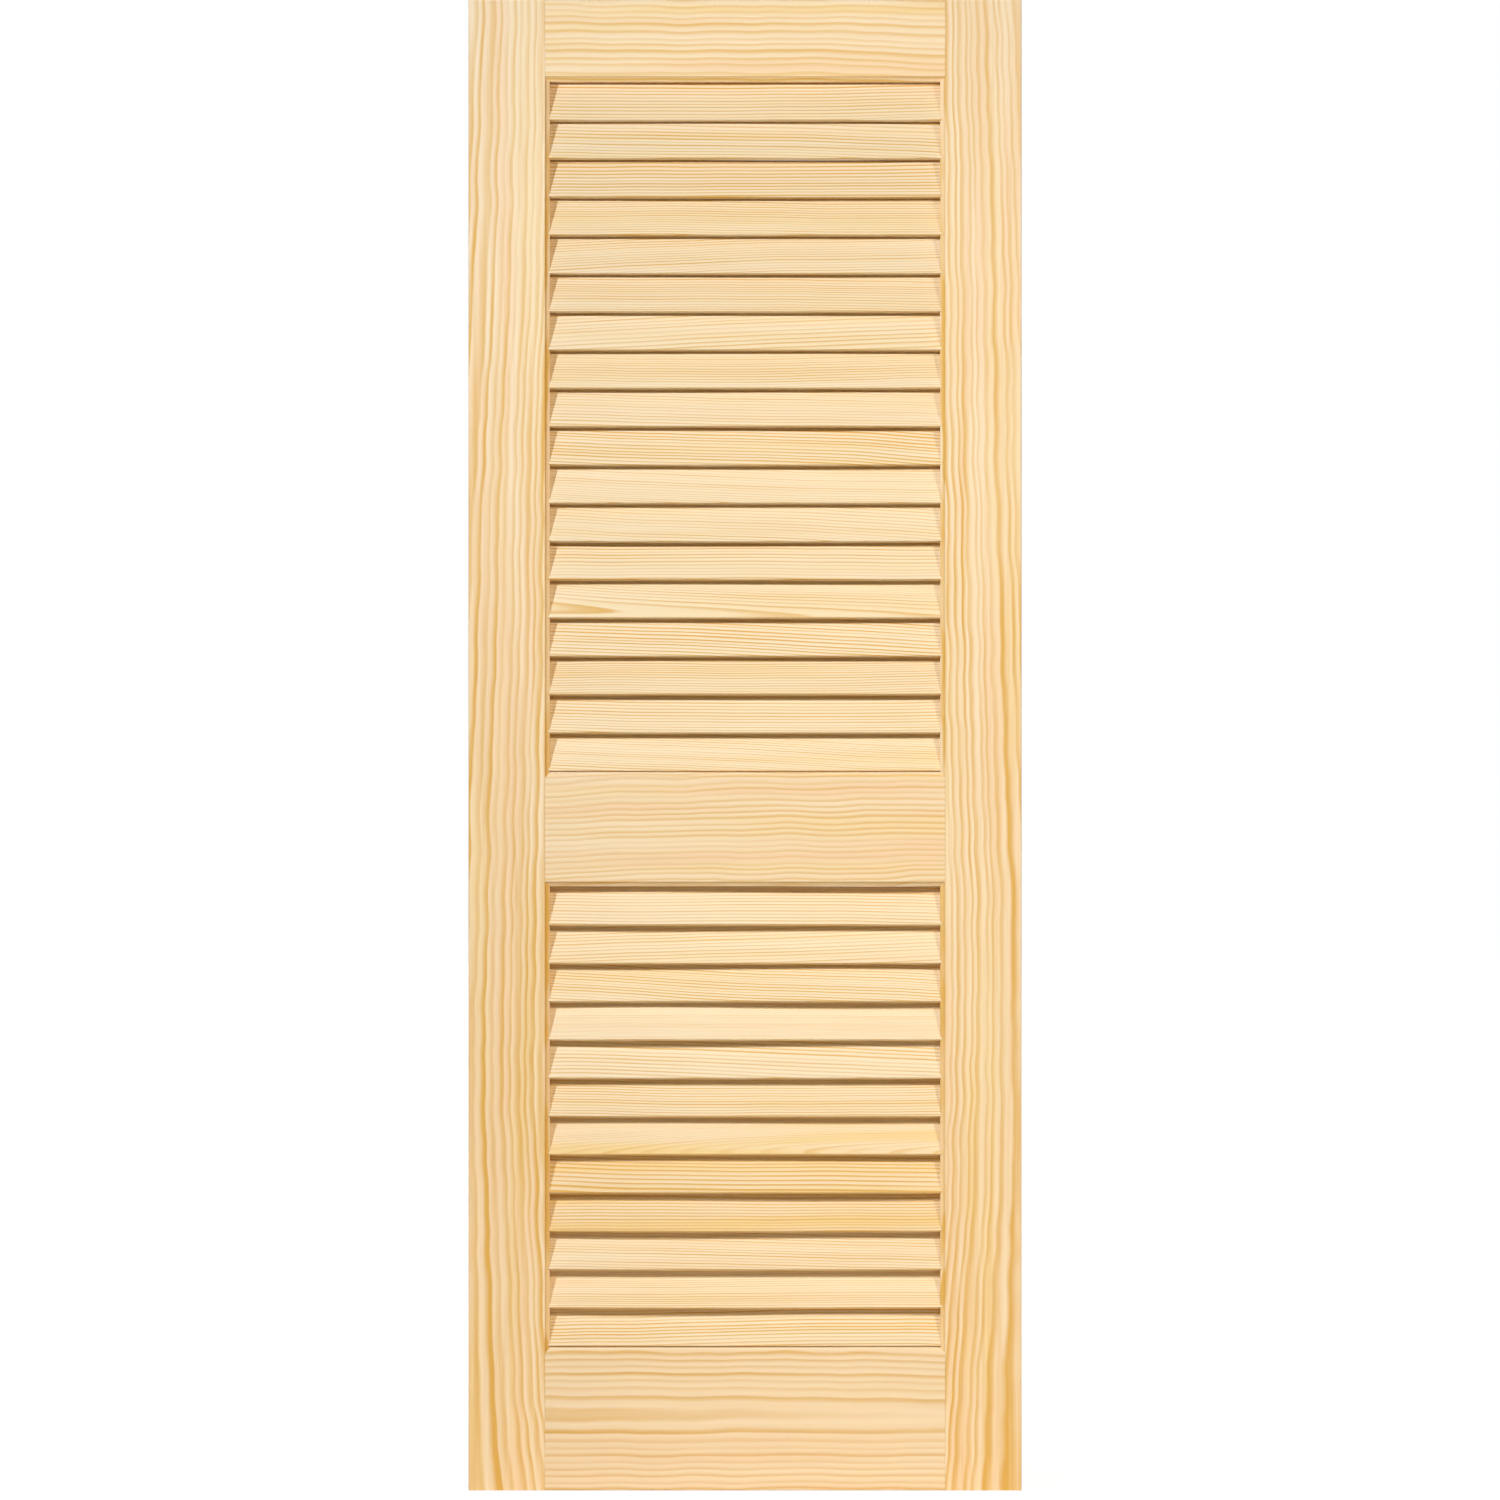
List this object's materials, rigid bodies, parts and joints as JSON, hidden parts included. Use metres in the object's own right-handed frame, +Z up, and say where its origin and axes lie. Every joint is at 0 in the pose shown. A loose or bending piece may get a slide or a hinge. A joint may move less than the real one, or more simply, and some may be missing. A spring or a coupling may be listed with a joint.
{
  "type": "louvred door",
  "caption": "Tall pine door leaf of stiles and rails, its upper and lower openings filled with fixed sloping louvre slats that screen a closet and let air through.",
  "frame": {"origin": "under the middle of the door at its foot: half way across the width and the thickness, level with the bottom edge", "axes": "+Z up along the stiles, +X across the door to the viewer's right, the front faces -Y"},
  "size_m": [0.754, 0.035, 2.032],
  "materials": {
    "stile_pine": "planed and sanded clear pine, bare",
    "rail_pine": "planed and sanded clear pine, bare",
    "slat_pine": "planed and sanded clear pine, bare",
    "dowel_beech": "plain turned beech, glued in blind holes"
  },
  "bodies": {
    "root": {"left_stile": "stile_pine", "right_stile": "stile_pine", "top_rail": "rail_pine", "mid_rail": "rail_pine", "bottom_rail": "rail_pine", "upper_slat_01": "slat_pine", "upper_slat_02": "slat_pine", "upper_slat_03": "slat_pine", "upper_slat_04": "slat_pine", "upper_slat_05": "slat_pine", "upper_slat_06": "slat_pine", "upper_slat_07": "slat_pine", "upper_slat_08": "slat_pine", "upper_slat_09": "slat_pine", "upper_slat_10": "slat_pine", "upper_slat_11": "slat_pine", "upper_slat_12": "slat_pine", "upper_slat_13": "slat_pine", "upper_slat_14": "slat_pine", "upper_slat_15": "slat_pine", "upper_slat_16": "slat_pine", "upper_slat_17": "slat_pine", "upper_slat_18": "slat_pine", "lower_slat_01": "slat_pine", "lower_slat_02": "slat_pine", "lower_slat_03": "slat_pine", "lower_slat_04": "slat_pine", "lower_slat_05": "slat_pine", "lower_slat_06": "slat_pine", "lower_slat_07": "slat_pine", "lower_slat_08": "slat_pine", "lower_slat_09": "slat_pine", "lower_slat_10": "slat_pine", "lower_slat_11": "slat_pine", "lower_slat_12": "slat_pine", "top_rail_left_dowel_1": "dowel_beech", "top_rail_left_dowel_2": "dowel_beech", "top_rail_right_dowel_1": "dowel_beech", "top_rail_right_dowel_2": "dowel_beech", "mid_rail_left_dowel_1": "dowel_beech", "mid_rail_left_dowel_2": "dowel_beech", "mid_rail_right_dowel_1": "dowel_beech", "mid_rail_right_dowel_2": "dowel_beech", "bottom_rail_left_dowel_1": "dowel_beech", "bottom_rail_left_dowel_2": "dowel_beech", "bottom_rail_left_dowel_3": "dowel_beech", "bottom_rail_right_dowel_1": "dowel_beech", "bottom_rail_right_dowel_2": "dowel_beech", "bottom_rail_right_dowel_3": "dowel_beech"}
  },
  "joints": []
}
